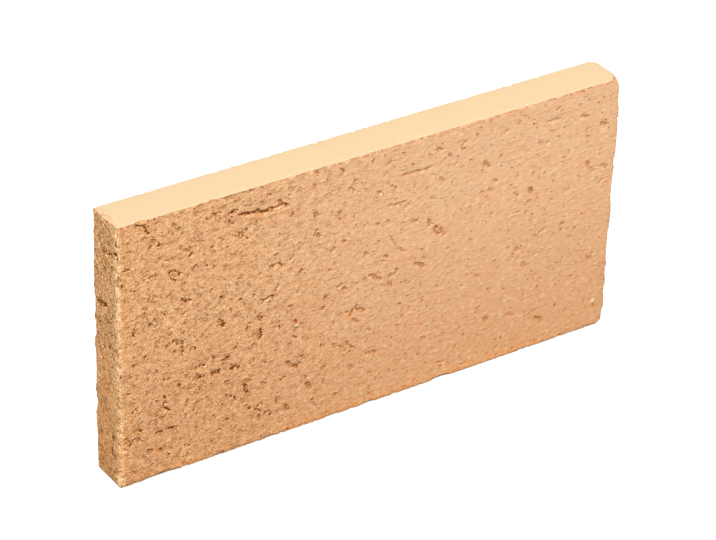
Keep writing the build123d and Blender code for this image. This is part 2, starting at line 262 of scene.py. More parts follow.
# %% Listed marks
# half width, depth, then the points of the stroke
FRONT_MARKS = [
    (0.42, 0.9, (57, 113.3), (63, 112.4), (66, 112.3)),
    (0.49, 1.2, (66.5, 111.5), (69, 111.0), (71, 111.6), (75, 111.1), (78, 111.9), (80, 110.6)),
    (0.35, 0.7, (76, 113.9), (77.2, 112.2)),
    (0.35, 0.6, (52, 115.2), (56, 115.5)),
    (0.56, 1.1, (9.9, 121.9), (11.8, 121.2), (13.2, 119.9)),
    (0.28, 0.5, (13.5, 119.0), (15.5, 116.8)),
    (0.42, 0.8, (16.8, 114.2), (19.4, 110.6)),
    (0.42, 0.7, (24.8, 96.3), (26.3, 97.0), (28.9, 94.2)),
    (0.35, 0.6, (24.9, 96.0), (25.3, 94.0), (27.0, 91.9)),
    (0.42, 0.8, (31.5, 104.2), (33.0, 103.2)),
    (0.42, 0.7, (44.2, 116.9), (45.6, 116.4)),
    (0.35, 0.6, (47.3, 105.0), (48.8, 104.0)),
    (0.49, 0.8, (57.2, 104.3), (57.9, 102.8)),
    (0.42, 0.8, (59.2, 105.0), (60.0, 105.5)),
    (0.35, 0.6, (44.0, 102.0), (45.2, 101.8)),
    (0.42, 0.8, (30.3, 82.0), (32.0, 80.8), (34.0, 80.4)),
    (0.35, 0.6, (13.0, 83.3), (14.0, 82.0)),
    (0.42, 0.7, (30.8, 74.4), (32.0, 75.2)),
    (0.35, 0.6, (21.2, 77.8), (21.8, 76.9)),
    (0.35, 0.6, (8.2, 72.9), (9.0, 72.5)),
    (0.42, 0.7, (72.8, 84.4), (76.2, 84.4), (78.0, 82.7)),
    (0.56, 1.0, (69.2, 68.9), (71.0, 69.3), (72.2, 69.9)),
    (0.35, 0.5, (71.2, 67.8), (72.2, 67.0)),
    (0.63, 0.6, (47.8, 66.5), (50.0, 63.5)),
    (0.42, 0.8, (26.2, 63.6), (27.8, 63.2), (28.5, 61.5)),
    (0.42, 0.8, (29.5, 62.5), (31.0, 60.5)),
    (0.49, 0.8, (66.6, 62.2), (67.8, 61.4)),
    (0.42, 0.7, (34.5, 57.5), (36.0, 56.8)),
    (0.35, 0.5, (30.2, 59.4), (30.5, 56.0)),
    (0.35, 0.6, (67.5, 56.0), (68.0, 52.5), (67.0, 50.8)),
    (0.49, 0.8, (36.8, 47.0), (40.8, 47.1)),
    (0.42, 0.6, (22.0, 46.5), (23.4, 45.5)),
    (0.42, 0.8, (4.5, 45.2), (5.5, 44.8)),
    (0.35, 0.5, (27.0, 44.5), (28.5, 42.0)),
    (0.63, 0.5, (38.5, 42.0), (48.0, 42.0)),
    (0.49, 0.7, (53.5, 41.0), (55.5, 41.8), (57.3, 40.6)),
    (0.35, 0.5, (49.0, 46.6), (53.0, 47.8)),
    (0.35, 0.6, (21.5, 38.5), (22.4, 37.2), (22.0, 35.0), (21.2, 34.0), (24.0, 31.0)),
    (0.42, 0.7, (7.0, 35.3), (8.8, 36.6)),
    (0.49, 0.8, (60.3, 30.8), (60.6, 29.0), (61.5, 27.0)),
    (0.35, 0.5, (53.5, 28.0), (55.3, 26.5), (56.0, 24.5)),
    (0.42, 0.6, (61.0, 20.3), (62.7, 18.6)),
    (0.42, 0.6, (66.8, 18.2), (68.6, 18.8)),
    (0.42, 0.6, (70.5, 13.8), (72.5, 13.5), (73.0, 12.0)),
    (0.49, 0.7, (80.3, 13.8), (81.8, 11.3)),
    (0.35, 0.5, (51.5, 16.8), (52.6, 15.8)),
    (0.35, 0.5, (31.8, 10.9), (33.3, 10.0)),
    (0.49, 0.9, (3.3, 23.8), (4.2, 22.0), (5.8, 20.5)),
    (0.42, 0.8, (7.8, 22.0), (10.2, 21.6)),
    (0.28, 0.4, (17.5, 21.8), (22.0, 22.3), (28.0, 21.6)),
    (0.42, 0.6, (93.3, 122.1), (94.2, 121.7)),
    (0.42, 0.7, (93.0, 103.0), (94.8, 101.5)),
    (0.42, 0.8, (110.2, 109.6), (112.2, 107.8)),
    (0.49, 0.7, (124.2, 103.7), (125.0, 103.2)),
    (0.42, 0.7, (131.3, 104.7), (132.7, 102.7)),
    (0.35, 0.5, (136.0, 108.3), (142.0, 108.3), (149.0, 108.0), (151.5, 108.7)),
    (0.35, 0.5, (130.0, 95.8), (133.0, 95.3), (138.5, 95.3)),
    (0.42, 0.7, (155.7, 101.5), (156.9, 100.0)),
    (0.49, 0.7, (153.8, 115.8), (155.3, 115.0)),
    (0.42, 0.7, (94.5, 94.8), (93.6, 93.6), (95.5, 91.5)),
    (0.35, 0.5, (105.5, 99.8), (105.6, 96.5)),
    (0.42, 0.6, (102.0, 82.8), (103.6, 83.6)),
    (0.42, 0.6, (124.6, 89.0), (125.6, 88.0)),
    (0.49, 0.7, (142.5, 84.7), (144.5, 84.2)),
    (0.28, 0.4, (131.2, 80.7), (132.8, 78.0), (134.5, 75.0), (137.0, 72.5), (139.0, 71.2)),
    (0.49, 0.8, (150.5, 83.0), (151.3, 80.5)),
    (0.49, 0.8, (154.5, 78.5), (154.2, 76.8), (156.0, 74.2)),
    (0.42, 0.7, (157.0, 77.0), (157.8, 74.8), (159.5, 73.0)),
    (0.49, 0.7, (118.8, 76.0), (119.6, 75.5)),
    (0.49, 0.7, (129.0, 72.0), (130.0, 71.0)),
    (0.49, 0.7, (108.4, 62.5), (109.2, 61.9)),
    (0.42, 0.7, (121.2, 64.8), (123.5, 64.0), (124.5, 62.5), (127.0, 61.3)),
    (0.49, 0.7, (131.5, 61.0), (134.0, 61.5)),
    (0.56, 0.7, (145.0, 63.0), (148.3, 61.5), (149.0, 60.6)),
    (0.49, 0.6, (98.0, 56.4), (98.6, 56.0)),
    (0.49, 0.7, (131.3, 58.0), (132.3, 56.0)),
    (0.35, 0.5, (139.5, 56.3), (141.5, 54.8)),
    (0.35, 0.5, (84.0, 54.0), (85.0, 54.5), (84.5, 51.5), (85.5, 50.5)),
    (0.49, 0.8, (112.0, 48.5), (114.5, 50.5), (115.2, 51.8)),
    (0.42, 0.7, (114.5, 50.5), (117.0, 49.5), (118.8, 48.2)),
    (0.35, 0.5, (113.5, 45.5), (116.3, 43.3)),
    (0.42, 0.5, (88.5, 44.8), (90.8, 43.6)),
    (0.42, 0.7, (80.5, 35.3), (82.0, 34.5), (83.5, 32.8), (86.3, 31.3), (86.8, 32.8)),
    (0.42, 0.6, (88.2, 36.0), (89.0, 34.7)),
    (0.35, 0.5, (110.5, 35.8), (112.0, 33.5), (114.8, 30.8)),
    (0.35, 0.5, (107.2, 34.5), (110.0, 31.5)),
    (0.49, 0.6, (121.0, 26.2), (124.3, 26.4), (125.5, 25.2)),
    (0.49, 0.7, (112.5, 22.3), (113.5, 21.2)),
    (0.56, 0.8, (91.0, 21.0), (92.8, 18.8)),
    (0.35, 0.5, (150.3, 25.0), (151.0, 23.5)),
    (0.42, 0.6, (165.8, 113.8), (167.5, 115.0)),
    (0.42, 0.6, (195.4, 117.0), (196.2, 116.4)),
    (0.35, 0.5, (211.0, 113.0), (217.0, 112.6)),
    (0.49, 0.6, (229.5, 110.5), (232.5, 109.4)),
    (0.56, 0.7, (240.5, 104.0), (242.5, 102.5)),
    (0.56, 0.9, (178.5, 102.5), (178.8, 101.0), (180.3, 100.0)),
    (0.42, 0.5, (207.0, 104.0), (208.8, 102.7)),
    (0.49, 0.6, (184.0, 92.4), (184.6, 91.6)),
    (0.49, 0.5, (181.5, 88.0), (183.5, 87.5)),
    (0.63, 0.8, (203.5, 82.2), (203.9, 80.9)),
    (0.56, 0.6, (203.0, 76.4), (203.5, 75.6)),
    (0.77, 0.7, (233.8, 86.2), (234.6, 85.2)),
    (0.56, 0.5, (235.0, 84.0), (237.0, 81.5)),
    (0.63, 0.5, (242.0, 83.0), (244.5, 81.5)),
    (0.49, 0.6, (222.0, 59.6), (223.0, 59.0)),
    (0.56, 0.6, (198.0, 54.4), (199.0, 53.6)),
    (0.56, 0.6, (201.8, 45.4), (203.2, 44.2)),
    (0.56, 0.6, (238.2, 37.4), (239.4, 36.6)),
    (0.63, 0.7, (183.2, 23.2), (183.9, 22.4)),
    (0.49, 0.5, (195.0, 21.9), (197.0, 21.1)),
    (0.63, 0.8, (210.5, 15.0), (213.5, 13.2), (214.3, 12.0)),
    (0.56, 0.5, (209.0, 19.3), (210.0, 18.7)),
]

LEFT_END_MARKS = [
    (0.25, 0.6, (3.0, 103.0), (6.5, 103.6), (10.0, 103.8)),
    (0.40, 0.8, (12.0, 108.0), (14.5, 109.5)),
    (0.35, 0.6, (9.3, 108.5), (10.5, 109.5)),
    (0.45, 0.8, (16.5, 110.5), (20.0, 111.5)),
    (0.35, 0.6, (15.5, 104.0), (18.5, 105.0)),
    (0.25, 0.4, (8.0, 96.0), (9.8, 96.0)),
    (0.90, 0.8, (3.5, 82.4), (6.5, 83.0), (10.0, 84.0)),
    (0.25, 0.5, (3.5, 85.2), (6.0, 86.3)),
    (0.40, 0.5, (11.5, 76.5), (12.5, 77.0)),
    (0.40, 0.6, (16.0, 72.0), (17.0, 72.6)),
    (0.30, 0.4, (14.6, 69.3), (15.4, 69.7)),
    (0.40, 0.5, (12.0, 64.8), (13.0, 65.3)),
    (0.35, 0.5, (6.0, 58.1), (6.8, 58.5)),
    (0.35, 0.5, (18.6, 47.8), (19.4, 48.2)),
    (0.35, 0.4, (18.1, 43.3), (18.9, 43.7)),
    (0.35, 0.4, (18.5, 40.0), (20.0, 40.0)),
    (0.50, 0.4, (13.4, 21.7), (15.2, 22.3)),
    (0.35, 0.4, (13.1, 14.0), (13.9, 14.4)),
    (0.35, 0.4, (15.6, 14.8), (16.4, 15.2)),
    (0.35, 0.5, (7.5, 9.8), (9.0, 10.4)),
    (0.30, 0.4, (4.0, 10.3), (4.6, 10.7)),
]


def on_front(along, up):
    """A point of the front face."""
    return low.x + along * MM, low.y, up * MM


def on_left_end(inward, up):
    """A point of the left end."""
    return low.x, high.y - inward * MM, up * MM


def strokes(name, marks_of):
    """Marks as a mesh of edges that keeps width and depth. marks_of pairs a face with its marks."""
    points, edges, widths, depths = [], [], [], []
    for face, marks in marks_of:
        for width, depth, *path in marks:
            first = len(points)
            points += [face(across, up) for across, up in path]
            edges += [(first + i, first + i + 1) for i in range(len(path) - 1)]
            widths += [width] * len(path)
            depths += [depth] * len(path)
    mesh = bpy.data.meshes.new(name)
    mesh.from_pydata(points, edges, [])
    for kind, values in (("width", widths), ("depth", depths)):
        mesh.attributes.new(kind, "FLOAT", "POINT").data.foreach_set("value", values)
    return blank_mesh_object(name, mesh)


marks = strokes("marks", ((on_front, FRONT_MARKS), (on_left_end, LEFT_END_MARKS)))
print(len(FRONT_MARKS), "marks on the front and", len(LEFT_END_MARKS), "on the left end")

# %% [markdown]
# ## How the clay is torn
# Wire-cut clay is rough at several scales at once: soft lumps a few millimetres across, ragged
# pits where a grain was pulled out with a lip beside each, short cracks, fine lines where grains
# were dragged along, and crumbs under a millimetre. The pits are too many to draw, and the crumbs
# are too fine for geometry within the limit of triangles. So one function writes the pattern in
# either kind of tree: Geometry Nodes carve with it and the material colours with it. Both read the
# same place on the uncarved brick, so the brown of a pit always lies in that pit. The front is keen
# and crumbly at its left end and softer towards the right, and the back is even.
# The brown of a pit is partly painted shade.

# %% Torn clay
# where along the brick, from its middle in millimetres, the front is at its keenest and softest
KEENEST = -115
SOFTEST = 70
KEEN_AT_SOFTEST = 0.1
KEEN_ON_BACK = 0.45
# specks: size of a cell, share of the cells that hold one, and range of the radius, in millimetres
LARGE_SPECKS = (4.6, 0.6, (0.4, 1.05))
SMALL_SPECKS = (2.2, 0.6, (0.25, 0.62))
NO_SPECK = 9.0
# the wire ran along the brick, so pits are a little longer that way and drag lines much longer
PIT_SQUEEZE = (0.75, 1.0, 1.0)
DRAG_SQUEEZE = (0.22, 1.0, 1.0)


def nearest_speck(g, place, cell, share, radii, seed):
    """1 in the middle of a speck, 0 at its rim and less outside. A share of the cells holds one."""
    net = g.add("ShaderNodeTexVoronoi", None, {"Vector": g.shifted(place, seed), "Scale": 1.0 / cell})
    chance, spread = g.split(net.out("Color"))[:2]
    radius = spread * (radii[1] - radii[0]) + radii[0]
    missing = g.math("GREATER_THAN", chance, share) * NO_SPECK
    return 1 - net * cell / radius - missing


def near_back(g, y, value=1.0):
    """value on the back face, and 0 in front of it."""
    return g.ramp(y, 6.0, 9.5, 0.0, value)


def torn_clay(g, place):
    """The pattern of the torn faces: masks and heights from 0 to 1, and what the pits are made of."""
    x, y = g.split(place)[:2]
    behind = near_back(g, y)
    keen = g.ramp(x, KEENEST, SOFTEST, 1.0, KEEN_AT_SOFTEST) * (1 - behind) + behind * KEEN_ON_BACK
    stretched = g.vector("MULTIPLY", place, PIT_SQUEEZE)
    lumps = g.noise(stretched, 2.6, 42.0, 1.0)
    swell = g.noise(stretched, 1.7, 48.0, 0.5)
    grit = g.noise(place, 1.3, 43.0, 2.0, 0.6)
    crumb = g.noise(place, 0.65, 21.0, 1.0, 0.6)
    ragged = (grit - 0.5) * 2.4 + (crumb - 0.5) * 2.6 * keen
    bent = g.sway(stretched, 2.2, 41.0, 1.3, 1.0)
    large = nearest_speck(g, bent, *LARGE_SPECKS, 1)
    small = nearest_speck(g, bent, *SMALL_SPECKS, 2) + (keen - 1) * 0.5
    pull = g.most(large, small) + ragged
    pit = g.ramp(pull, keen * 0.6 - 0.4, 1.1 - keen * 0.5)
    lip = g.ramp(pull, -0.8, -0.2) * g.ramp(pull, -0.1, 0.15, 1.0, 0.0)
    crack = g.ramp(g.math("ABSOLUTE", grit - 0.5), 0.03, 0.0) * g.ramp(lumps, 0.48, 0.6) * keen
    drawn = g.vector("MULTIPLY", g.sway(place, 6.0, 44.0, 1.5, 1.0), DRAG_SQUEEZE)
    drag = g.ramp(g.noise(drawn, 1.2, 45.0, 1.0), 0.58, 0.7)
    masks = {"pit": pit, "lip": lip, "crack": crack, "drag": drag, "keen": keen}
    heights = {"lumps": lumps, "swell": swell, "grit": grit, "crumb": crumb}
    return {**masks, **heights, "ragged": ragged, "bent": bent, "pull": pull}


print("torn clay pattern ready")

# %% [markdown]
# ## The relief as Geometry Nodes
# Between the pits of the pattern and the listed tears there are tears of a middle size,
# scattered at random over the cut faces. The tree makes them as short strokes on points, joins
# the listed ones, and carves a furrow along each. Lumps, pits, sandy ends and broken arrises
# are added as depths in millimetres. All of it moves inwards, so the brick keeps its size.

# %% Scattered tears
# ranges in millimetres, the lean in radians
TEAR_SPACING = 8.0
TEAR_LENGTH = (0.6, 2.6)
TEAR_HALF_WIDTH = (0.2, 0.4)
TEAR_DEPTH = (0.3, 0.6)
TEAR_LEAN = (-2.0, 1.0)
TEAR_SEED = 11


def named_input(tree, name, kind, value=None):
    """A named input of a Geometry Nodes group."""
    socket = tree.interface.new_socket(name, in_out="INPUT", socket_type=kind)
    if value is not None:
        socket.default_value = value


def scattered_tears(g, surface, where):
    """Short strokes scattered over a surface, as densely as where says, from 0 to 1."""
    spacing = TEAR_SPACING * MM
    spread = {"Mesh": surface, "Distance Min": spacing, "Density Max": 1 / spacing ** 2}
    spread.update({"Density Factor": where, "Seed": TEAR_SEED})
    points = g.add("GeometryNodeDistributePointsOnFaces", {"distribute_method": "POISSON"}, spread)
    rotation = points.out("Rotation")

    def pick(span, step):
        return g.add("FunctionNodeRandomValue", None, {2: span[0], 3: span[1], "Seed": TEAR_SEED + step}, 1)

    geometry = points
    for step, (name, span) in enumerate((("width", TEAR_HALF_WIDTH), ("depth", TEAR_DEPTH)), 1):
        store = {"Geometry": geometry, "Name": name, "Value": pick(span, step)}
        geometry = g.add("GeometryNodeStoreNamedAttribute", None, store)
    turn = g.add("FunctionNodeAxisAngleToRotation", None, {"Axis": (0, 0, 1), "Angle": pick(TEAR_LEAN, 3)})
    turned = {"Rotation": rotation, "Rotate By": turn}
    rotation = g.add("FunctionNodeRotateRotation", {"rotation_space": "LOCAL"}, turned)
    line = {"Count": 5, "Start Location": (-0.5 * MM, 0, 0), "Offset": (0.25 * MM, 0, 0)}
    stroke = g.add("GeometryNodeMeshLine", None, line)
    placed = {"Points": geometry, "Instance": stroke, "Rotation": rotation, "Scale": pick(TEAR_LENGTH, 4)}
    placed = g.add("GeometryNodeInstanceOnPoints", None, placed)
    placed = g.add("GeometryNodeRealizeInstances", None, {"Geometry": placed})
    here = g.add("GeometryNodeInputPosition")
    place = g.vector("SCALE", here, 1 / MM)
    bend = g.vector("SCALE", g.vector("SUBTRACT", g.sway(place, 1.3, TEAR_SEED, 0.8), place), MM)
    return g.add("GeometryNodeSetPosition", None, {"Geometry": placed, "Offset": bend})


print("scattered tears ready")

# %% Furrows
# half widths beyond which a stroke no longer matters
FAR_OFF = 6.0


def furrows(g, place, strokes):
    """Distance from the nearest stroke in half widths, and how deep that stroke cuts in mm."""
    from_here = g.vector("SCALE", g.sway(place, 2.5, 5.0, 0.35), MM)
    near = {"Target": strokes, "Source Position": from_here}
    near = g.add("GeometryNodeProximity", {"target_element": "EDGES"}, near)
    nearest = g.add("GeometryNodeSampleNearest", None, {"Geometry": strokes, "Sample Position": near})

    def of_stroke(name):
        value = g.add("GeometryNodeInputNamedAttribute", None, {"Name": name})
        here = {"Geometry": strokes, "Value": value, "Index": nearest}
        return g.add("GeometryNodeSampleIndex", None, here)

    away = near.out("Distance") / MM / of_stroke("width")
    return g.math("MINIMUM", away, FAR_OFF), of_stroke("depth")


print("furrows ready")

# %% Where a point lies
def facing_sides(g, normal):
    """1 where the clay faces like the large faces, the ends or the long edges, and 0 elsewhere."""
    side_x, side_y, side_z = [g.math("ABSOLUTE", side) for side in g.split(normal)]
    return g.ramp(side_y, 0.4, 0.8), g.ramp(side_x, 0.5, 0.8), g.ramp(side_z, 0.5, 0.85)


def below_sides(g, place):
    """How far a point lies inside the planes of the faces, the ends and the edges, in millimetres."""
    x, y, z = g.split(place)
    from_face = thickness / 2 / MM - g.math("ABSOLUTE", y)
    from_end = length / 2 / MM - g.math("ABSOLUTE", x)
    from_edge = height / 2 / MM - g.math("ABSOLUTE", z - height / 2 / MM)
    return from_face, from_end, from_edge


print("sides known")

# %% [markdown]
# Each kind of side wears in its own way. The solid brings its larger tears and grain holes along.
# They are filled first, then cut again with a ragged edge, which also leaves some clay in their
# shallow rims. From the middle to the right all furrows are a little shallower.

# %% Wear of the sides
def face_wear(g, place, clay, source):
    """Lumps and pits of the torn faces, softer to the right and on the back."""
    x, y = g.split(place)[:2]
    soft = g.most(g.ramp(x, -80, 90, 1.0, 0.55), near_back(g, y, 0.75))
    rough = source.out("Lump depth") * clay["lumps"]
    rough = rough + source.out("Pit depth") * clay["pit"] - 0.15 * clay["lip"]
    return (rough + clay["grit"] * clay["keen"] * 0.2) * soft + g.noise(place, 26.0, 1.0) * 0.2


def end_wear(g, place, clay, source):
    """The sandy ends, with deeper pits in their upper half."""
    up = g.split(place)[2]
    sandy = source.out("End roughness") * g.noise(place, 2.0, 9.0, 3.0, 0.65)
    sandy = sandy + clay["pit"] * g.ramp(up, 40, 90, 0.25, 0.5)
    return sandy + g.ramp(g.noise(place, 13.0, 14.0), 0.35, 0.65) * 0.5


def edge_wear(g, place):
    """The long edges, which the die left almost smooth."""
    return 0.02 + g.noise(place, 12.0, 10.0) * 0.05


print("wear of the sides ready")

# %% Wear of the arrises, and the solid's own cuts
UPPER_LEFT = (low.x / MM, low.y / 2 / MM, high.z / MM)


def arris_wear(g, place, wear):
    """Crumbled arrises: nibbled along the ends, most broken at the upper left, least along the top."""
    from_face, from_end, from_edge = below_sides(g, place)
    corner = g.most(from_face, g.math("MINIMUM", from_end, from_edge))
    by_arris = g.ramp(corner, 0.3, 1.9, 1.0, 0.0)
    bites = g.ramp(g.noise(place, 3.0, 12.0, 3.0, 0.65), 0.48, 0.66)
    crumble = by_arris * wear * (bites + g.noise(place, 0.9, 13.0) * 0.4)
    nibbled = g.ramp(g.noise(place, 8.0, 15.0, 1.0), 0.42, 0.6) * g.ramp(from_end, 1.0, 4.0, 1.0, 0.0)
    off_corner = g.vector("DISTANCE", place, UPPER_LEFT, "Value")
    crumble = crumble * g.ramp(off_corner, 3.0, 14.0, 2.6, 1.0) + by_arris * nibbled * 1.2
    top = height / MM
    return crumble * g.ramp(g.split(place)[2], top - 2.5, top - 1.5, 1.0, 0.7)


def solid_cuts(g, place):
    """How deep the solid's own tears and grain holes are here, in millimetres."""
    from_face, from_end, from_edge = below_sides(g, place)
    in_front = g.ramp(g.math("MINIMUM", from_end, from_edge), 1.5, 2.5) * from_face
    in_end = g.ramp(g.math("MINIMUM", from_face, from_edge), 1.5, 2.5)
    in_end = in_end * g.ramp(from_end, 2.0, 3.0, 1.0, 0.0)
    return g.most(in_front, in_end * from_end)


print("arrises most broken near", [round(side, 1) for side in UPPER_LEFT], "mm")

# %% Inputs and strokes of the tree
DEPTHS = {"Lump depth": 0.4, "Pit depth": 0.55, "End roughness": 0.55, "Arris wear": 0.8}


def relief_group():
    """An empty tree with its inputs: the skin, the marks and the depths in millimetres."""
    tree = bpy.data.node_groups.new("fired relief", "GeometryNodeTree")
    named_input(tree, "Geometry", "NodeSocketGeometry")
    named_input(tree, "Marks", "NodeSocketObject")
    for name, depth in DEPTHS.items():
        named_input(tree, name, "NodeSocketFloat", depth)
    tree.interface.new_socket("Geometry", in_out="OUTPUT", socket_type="NodeSocketGeometry")
    return tree


def all_strokes(g, skin, place, cut, marks):
    """The scattered tears, fewer to the right, and the listed marks as one net of edges."""
    x = g.split(place)[0]
    crowd = g.ramp(g.noise(place, 30.0, 3.0), 0.35, 0.65, 0.35, 1.0) * g.ramp(x, -60, 100, 1.0, 0.5)
    tears = scattered_tears(g, skin, cut * crowd)
    known = g.add("GeometryNodeObjectInfo", None, {"Object": marks}, "Geometry")
    strokes = g.add("GeometryNodeJoinGeometry")
    for part in (tears, known):
        g.tree.links.new(part.socket, strokes.socket.node.inputs[0])
    return strokes


print("depths", DEPTHS, "mm")

# %% Relief tree
def keep_values(g, skin, values, place):
    """Stores values and the uncarved place on the skin, for the material to read."""
    for name, value in values.items():
        keep = {"Geometry": skin, "Name": name, "Value": value}
        skin = g.add("GeometryNodeStoreNamedAttribute", None, keep)
    keep = {"Geometry": skin, "Name": "clay_place", "Value": place}
    return g.add("GeometryNodeStoreNamedAttribute", {"data_type": "FLOAT_VECTOR"}, keep)


def relief_tree():
    """The tree that carves the skin of the brick."""
    tree = relief_group()
    g = Graph(tree)
    source = g.add("NodeGroupInput")
    skin = source.out("Geometry")
    here = g.add("GeometryNodeInputPosition")
    place = g.vector("SCALE", here, 1 / MM)
    normal = g.add("GeometryNodeInputNormal")
    on_face, on_end, on_edge = facing_sides(g, normal)
    cut = g.most(on_face, on_end)
    clay = torn_clay(g, place)

    strokes = all_strokes(g, skin, place, cut, source.out("Marks"))
    from_tear, sunk = furrows(g, place, strokes)
    fading = g.ramp(g.split(place)[0], -30, 10, 1.0, 0.7)
    furrow = cut * sunk * fading * g.ramp(from_tear + clay["ragged"] * 0.8, 0.4, 2.0, 1.0, 0.0)
    groove = solid_cuts(g, place)
    kept = groove * g.ramp(groove + clay["grit"] * 0.8, 0.6, 0.9) * fading
    worn = on_face * face_wear(g, place, clay, source) + on_end * end_wear(g, place, clay, source)
    worn = worn + on_edge * (1 - on_face) * edge_wear(g, place)
    depth = worn + g.most(furrow, kept) - groove + arris_wear(g, place, source.out("Arris wear"))
    moved = g.vector("ADD", here, g.vector("SCALE", normal, depth * -MM))
    moved = g.vector("MAXIMUM", g.vector("MINIMUM", moved, tuple(high)), tuple(low))

    values = {"from_tear": from_tear, "tear_depth": sunk, "die_skin": on_edge, "cut_end": on_end}
    skin = keep_values(g, skin, values, place)
    carved = g.add("GeometryNodeSetPosition", None, {"Geometry": skin, "Position": moved})
    carved = g.add("GeometryNodeRealizeInstances", None, {"Geometry": carved})
    fired = {"Geometry": carved, "Material": bpy.data.materials["fired clay"]}
    fired = g.add("GeometryNodeSetMaterial", None, fired)
    g.add("NodeGroupOutput", None, {"Geometry": fired})
    return tree


bpy.data.materials.new("fired clay")
relief = relief_tree()
print("relief tree of", len(relief.nodes), "nodes")

# %% Carve
def run_tree(piece, tree, values):
    """Runs a tree on a piece, with its inputs set by their identifiers."""
    modifier = piece.modifiers.new(tree.name, "NODES")
    modifier.node_group = tree
    for item in tree.interface.items_tree:
        if item.in_out == "INPUT" and item.name in values:
            modifier[item.identifier] = values[item.name]
    bake_modifiers(piece, piece.name)


run_tree(brick, relief, {"Marks": marks})
bpy.data.objects.remove(marks)
print("carved skin", len(brick.data.vertices), "points")

# %% [markdown]
# ## Fewer triangles where nothing happens
# The even net spends as much on flat clay as on a pit. A collapse decimation takes the points
# away where the surface is flattest, so the pits keep theirs.

# %% Thin out
TRIANGLES = 196000


def thin_out(piece, triangles):
    """Collapses the flattest parts until the piece has that many triangles."""
    corners = sum(polygon.loop_total - 2 for polygon in piece.data.polygons)
    fewer = piece.modifiers.new("fewer", "DECIMATE")
    fewer.ratio = triangles / corners
    bake_modifiers(piece, piece.name)
    piece.data.polygons.foreach_set("use_smooth", [True] * len(piece.data.polygons))


thin_out(brick, TRIANGLES)
print("thinned skin", len(brick.data.polygons), "triangles")

# %% [markdown]
# ## The fired clay
# One clay, three finishes. The torn faces show the body of the clay, warm and mottled, with painted
# shade in its hollows, and brown in the pits, partly painted shade there too. The edges carry a
# paler skin from the die, and the sandy ends are deeper and grainy.
# Every pattern reads the place of a point on the uncarved brick, in millimetres, which the relief
# tree has kept, so the pattern follows the carving and can't slide over the brick.

# %% Clay colours
def rgb(red, green, blue):
    """A colour given as screen values from 0 to 255, in Blender's own linear values."""
    parts = [c / 255 for c in (red, green, blue)]
    return tuple(c / 12.92 if c <= 0.04045 else ((c + 0.055) / 1.055) ** 2.4 for c in parts) + (1.0,)


BODY = rgb(237, 184, 135)
BODY_PALE = rgb(234, 190, 149)
BODY_DEEP = rgb(211, 157, 112)
BODY_ORANGE = rgb(236, 166, 104)
BODY_PINK = rgb(232, 168, 130)
PINK = rgb(214, 140, 96)
# the brown of the pits, also used for freckles and stains; in the pits, tears and cracks it is partly
# painted shade
PIT = rgb(144, 68, 2)
FLECK_PALE = rgb(255, 226, 182)
# dark flecks, partly the clay's own specks and partly painted shade in hollows
DARK_FLECK_AND_HOLLOW_SHADE = rgb(186, 114, 40)
# orange round the pits, partly the clay's colour and partly painted warm shade on their flanks
ORANGE_AND_FLANK_SHADE = rgb(228, 152, 84)
GRAIN = rgb(255, 236, 196)
BROKEN = rgb(255, 228, 182)
SKIN = rgb(227, 202, 164)
END = rgb(246, 192, 137)
END_DEEP = rgb(226, 166, 110)


def blend_colour(g, factor, first, second):
    """A colour between two."""
    settings = {"data_type": "RGBA"}
    return g.add("ShaderNodeMix", settings, {"Factor": factor, "A": first, "B": second}, 2)


def paint(g, colour, layers):
    """A colour with layers over it, each a factor and a colour, in that order."""
    for factor, over in layers:
        colour = blend_colour(g, factor, colour, over)
    return colour


def spots(g, place, sway_seed, centres):
    """1 at named places of the front, given as (along, up, radius) in millimetres."""
    x, y, z = g.split(g.sway(place, 1.4, sway_seed, 0.7))
    flat = g.add("ShaderNodeCombineXYZ", None, {"X": x, "Z": z})
    inside = None
    for along, up, radius in centres:
        spot = (along - length / 2 / MM, 0.0, up)
        away = g.vector("DISTANCE", flat, spot, "Value") / radius
        near = g.ramp(away, 0.6, 1.1, 1.0, 0.0)
        inside = near if inside is None else g.most(inside, near)
    return inside * g.ramp(y, -9.0, -8.0, 1.0, 0.0)


print("colours ready")

# %% [markdown]
# A few marks of the front are single grains and stains, at places of their own: pale grains of
# crushed fired clay, pink and brown stains beside the pits, and patches of orange.

# %% Grains and stains
PALE_GRAINS = (
    (57.3, 54.8, 0.9), (41.3, 46.4, 0.6), (125.8, 102.3, 0.9), (135.5, 61.0, 0.9), (127.5, 89.5, 0.8),
    (84.7, 51.5, 0.7), (157.5, 114.0, 0.8), (243.0, 13.5, 1.3), (237.5, 77.5, 1.0), (22.4, 31.0, 0.6))
PINK_STAINS = ((62.5, 68.0, 2.2), (76.5, 63.5, 2.0), (30.0, 88.0, 1.6))
BROWN_STAINS = (
    (66.5, 54.0, 2.4), (95.4, 16.0, 1.7), (148.0, 17.0, 1.5), (243.5, 11.4, 1.5), (12.0, 12.0, 1.6))
ORANGE_STAINS = ((110.5, 48.3, 2.2), (17.0, 13.5, 2.2), (66.0, 110.4, 2.6), (75.0, 111.0, 2.2))
# seed, places, share of the colour and colour
STAINS = (
    (51.0, PINK_STAINS, 0.5, PINK),
    (52.0, BROWN_STAINS, 0.25, PIT),
    (53.0, ORANGE_STAINS, 0.6, BODY_ORANGE))
print(len(PALE_GRAINS), "pale grains and", sum(len(row[1]) for row in STAINS), "stains")

# %% What the material reads
GRAIN_CELL = 3.6
GRAIN_RADII = (0.3, 0.8)


def painted(g, name, out="Fac"):
    """A value that the relief tree has kept on the skin."""
    return g.add("ShaderNodeAttribute", {"attribute_name": name}, None, out)


